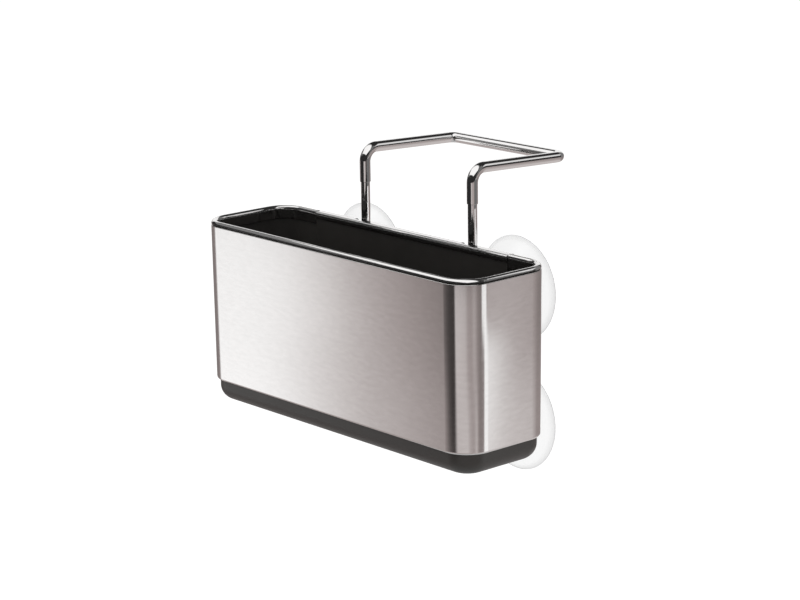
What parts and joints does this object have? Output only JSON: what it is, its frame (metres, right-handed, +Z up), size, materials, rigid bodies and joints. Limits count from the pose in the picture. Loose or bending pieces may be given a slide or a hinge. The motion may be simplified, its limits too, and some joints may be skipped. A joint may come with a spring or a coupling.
{
  "type": "sink caddy",
  "caption": "Slim stainless sink caddy with a round-cornered bin, dark moulded base, clear suction cups and a sliding wire support.",
  "frame": {"origin": "middle of the four suction cups, on the plane of their rims", "axes": "+X along the wall to the right seen from the front, +Y into the wall, +Z up"},
  "size_m": [0.238, 0.1507, 0.1848],
  "materials": {
    "brushed_steel": "brushed, satin",
    "polished_steel": "polished",
    "dark_plastic": "fine satin",
    "clear_vinyl": "clear, slightly frosted"
  },
  "bodies": {
    "hanger": {"hanger_plate": "brushed_steel", "bracket_left": "dark_plastic", "bracket_right": "dark_plastic", "suction_cup_upper_left": "clear_vinyl", "suction_cup_upper_right": "clear_vinyl", "suction_cup_lower_left": "clear_vinyl", "suction_cup_lower_right": "clear_vinyl", "rivet_left_1": "polished_steel", "rivet_left_2": "polished_steel", "rivet_left_3": "polished_steel", "rivet_right_1": "polished_steel", "rivet_right_2": "polished_steel", "rivet_right_3": "polished_steel"},
    "bin": {"inner_bin": "dark_plastic", "sleeve": "brushed_steel", "rim_trim": "polished_steel", "hook_rail": "polished_steel"},
    "support": {"wire_support": "polished_steel", "leg_stop_left": "dark_plastic", "leg_stop_right": "dark_plastic"}
  },
  "joints": [
    {"name": "support_slide", "type": "slide", "parent": "hanger", "child": "support", "axis": [0, 0, 1], "range_m": [-0.0277, 0.025]},
    {"name": "bin_lift", "type": "slide", "parent": "hanger", "child": "bin", "axis": [0, 0, 1], "range_m": [0, 0.06]}
  ]
}
